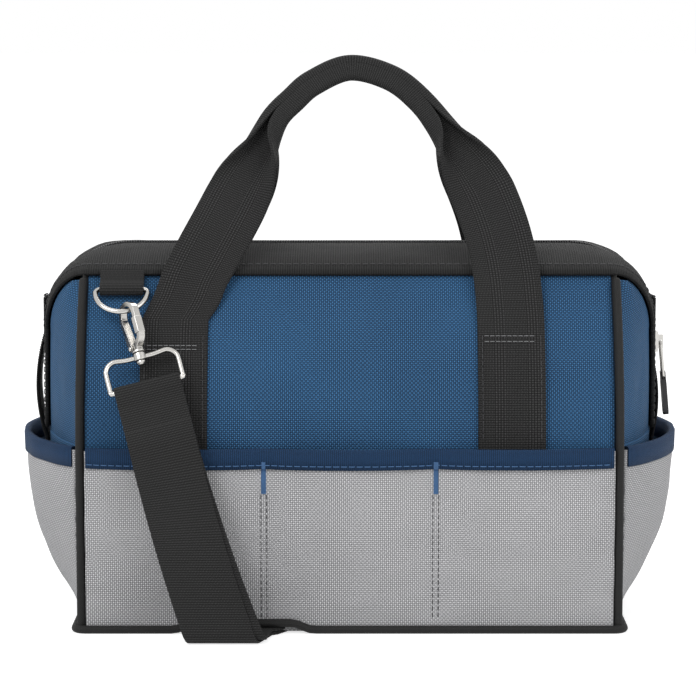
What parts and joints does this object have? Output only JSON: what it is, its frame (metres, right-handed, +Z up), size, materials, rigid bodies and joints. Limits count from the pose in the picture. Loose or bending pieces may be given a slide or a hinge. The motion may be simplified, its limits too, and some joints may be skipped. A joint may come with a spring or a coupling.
{
  "type": "tool bag",
  "caption": "Wide-mouth zippered fabric tool bag with side pockets, two webbing handles and a doubled shoulder strap on snap hooks.",
  "frame": {"origin": "middle of the base, on the surface that the bag stands on", "axes": "+X along the bag to its right-hand end, -Y out of its front, +Z up"},
  "size_m": [0.3872, 0.2602, 0.3262],
  "materials": {
    "fabric_blue": "woven polyester, matt",
    "fabric_grey": "woven polyester, matt",
    "binding_navy": "ribbed tape, matt",
    "webbing_black": "cross-ribbed webbing, slight sheen",
    "piping_black": "coated piping, satin",
    "base_fabric": "coated woven fabric, matt",
    "board_plastic": "plain sheet",
    "zip_black": "moulded coil on woven tape",
    "pull_rubber": "moulded, matt",
    "frame_steel": "bent rod",
    "nickel": "bright nickel plate"
  },
  "bodies": {
    "bag_body": {"base_panel": "base_fabric", "base_board": "board_plastic", "foot_piping": "piping_black", "front_lower_wall": "fabric_blue", "rear_lower_wall": "fabric_blue", "front_pocket": "fabric_grey", "rear_pocket": "fabric_grey", "front_pocket_binding": "binding_navy", "rear_pocket_binding": "binding_navy", "left_end_wall": "fabric_blue", "right_end_wall": "fabric_blue", "left_pocket": "fabric_grey", "right_pocket": "fabric_grey", "left_pocket_binding": "binding_navy", "right_pocket_binding": "binding_navy", "zip_tail_left": "zip_black", "zip_tail_right": "zip_black", "front_strap_run": "webbing_black", "front_strap_return": "webbing_black", "rear_strap_run": "webbing_black", "rear_strap_return": "webbing_black"},
    "front_flap": {"front_upper_wall": "fabric_blue", "front_hem_band": "webbing_black", "front_frame_rod": "frame_steel", "front_zip_half": "zip_black", "front_handle_strip_left": "webbing_black", "front_handle_strip_right": "webbing_black", "front_left_upper_piping": "piping_black", "front_left_wing": "fabric_blue", "front_right_upper_piping": "piping_black", "front_right_wing": "fabric_blue", "front_ring_tab": "webbing_black"},
    "front_handle_loop": {"front_handle": "webbing_black"},
    "front_ring_and_eye": {"front_d_ring": "nickel", "front_hook_eye": "nickel", "front_strap_loop": "webbing_black"},
    "front_snap_hook": {"front_hook": "nickel"},
    "front_gate": {"front_hook_gate": "nickel"},
    "rear_flap": {"rear_upper_wall": "fabric_blue", "rear_hem_band": "webbing_black", "rear_frame_rod": "frame_steel", "rear_zip_half": "zip_black", "rear_handle_strip_left": "webbing_black", "rear_handle_strip_right": "webbing_black", "rear_left_upper_piping": "piping_black", "rear_left_wing": "fabric_blue", "rear_right_upper_piping": "piping_black", "rear_right_wing": "fabric_blue", "rear_ring_tab": "webbing_black"},
    "rear_handle_loop": {"rear_handle": "webbing_black"},
    "rear_ring_and_eye": {"rear_d_ring": "nickel", "rear_hook_eye": "nickel", "rear_strap_loop": "webbing_black"},
    "rear_snap_hook": {"rear_hook": "nickel"},
    "rear_gate": {"rear_hook_gate": "nickel"},
    "slider": {"zip_slider": "nickel"},
    "pull": {"zip_pull_link": "nickel", "zip_pull_tag": "pull_rubber"},
    "adjuster": {"strap_adjuster": "nickel"}
  },
  "joints": [
    {"name": "front_flap_opens", "type": "hinge", "parent": "bag_body", "child": "front_flap", "pos_m": [0, -0.0995, 0.1065], "axis": [1, 0, 0], "range_deg": [0, 38], "deforming": ["front_strap_run", "front_strap_return"]},
    {"name": "front_handle_folds", "type": "hinge", "parent": "front_flap", "child": "front_handle_loop", "pos_m": [0, -0.07712, 0.175], "axis": [1, 0, 0], "range_deg": [0, 100]},
    {"name": "front_ring_swings", "type": "hinge", "parent": "front_flap", "child": "front_ring_and_eye", "pos_m": [-0.13, -0.06767, 0.1931], "axis": [-1, 0, 0], "range_deg": [0, 8], "deforming": ["front_strap_run", "front_strap_return"]},
    {"name": "front_hook_turns", "type": "hinge", "parent": "front_ring_and_eye", "child": "front_snap_hook", "pos_m": [-0.1255, -0.08051, 0.18232], "axis": [-0.2588, 0.4334, 0.8633], "range_deg": [-55, 4]},
    {"name": "front_gate_opens", "type": "hinge", "parent": "front_snap_hook", "child": "front_gate", "pos_m": [-0.12197, -0.0876, 0.16099], "axis": [0.7815, 0.6193, -0.0766], "range_deg": [0, 30], "stiffness_Nm_per_rad": 0.02, "springref_deg": -9.74},
    {"name": "rear_flap_opens", "type": "hinge", "parent": "bag_body", "child": "rear_flap", "pos_m": [0, 0.0995, 0.1065], "axis": [-1, 0, 0], "range_deg": [0, 38], "deforming": ["rear_strap_run", "rear_strap_return"]},
    {"name": "rear_handle_folds", "type": "hinge", "parent": "rear_flap", "child": "rear_handle_loop", "pos_m": [0, 0.07712, 0.175], "axis": [-1, 0, 0], "range_deg": [0, 100]},
    {"name": "rear_ring_swings", "type": "hinge", "parent": "rear_flap", "child": "rear_ring_and_eye", "pos_m": [0.13, 0.06767, 0.1931], "axis": [1, 0, 0], "range_deg": [0, 8], "deforming": ["rear_strap_run", "rear_strap_return"]},
    {"name": "rear_hook_turns", "type": "hinge", "parent": "rear_ring_and_eye", "child": "rear_snap_hook", "pos_m": [0.1255, 0.08051, 0.18232], "axis": [0.2588, -0.4334, 0.8633], "range_deg": [-55, 4]},
    {"name": "rear_gate_opens", "type": "hinge", "parent": "rear_snap_hook", "child": "rear_gate", "pos_m": [0.12197, 0.0876, 0.16099], "axis": [-0.7815, -0.6193, -0.0766], "range_deg": [0, 30], "stiffness_Nm_per_rad": 0.02, "springref_deg": -9.74},
    {"name": "slider_runs", "type": "slide", "parent": "bag_body", "child": "slider", "axis": [0, 0, 1], "range_m": [0, 0.02]},
    {"name": "pull_swings", "type": "hinge", "parent": "slider", "child": "pull", "pos_m": [0.1847, 0, 0.156], "axis": [0, -1, 0], "range_deg": [0, 120]},
    {"name": "adjuster_slides", "type": "slide", "parent": "bag_body", "child": "adjuster", "axis": [0.2754, -0.1213, 0.9536], "range_m": [-0.015, 0.015], "deforming": ["rear_strap_return"]}
  ]
}
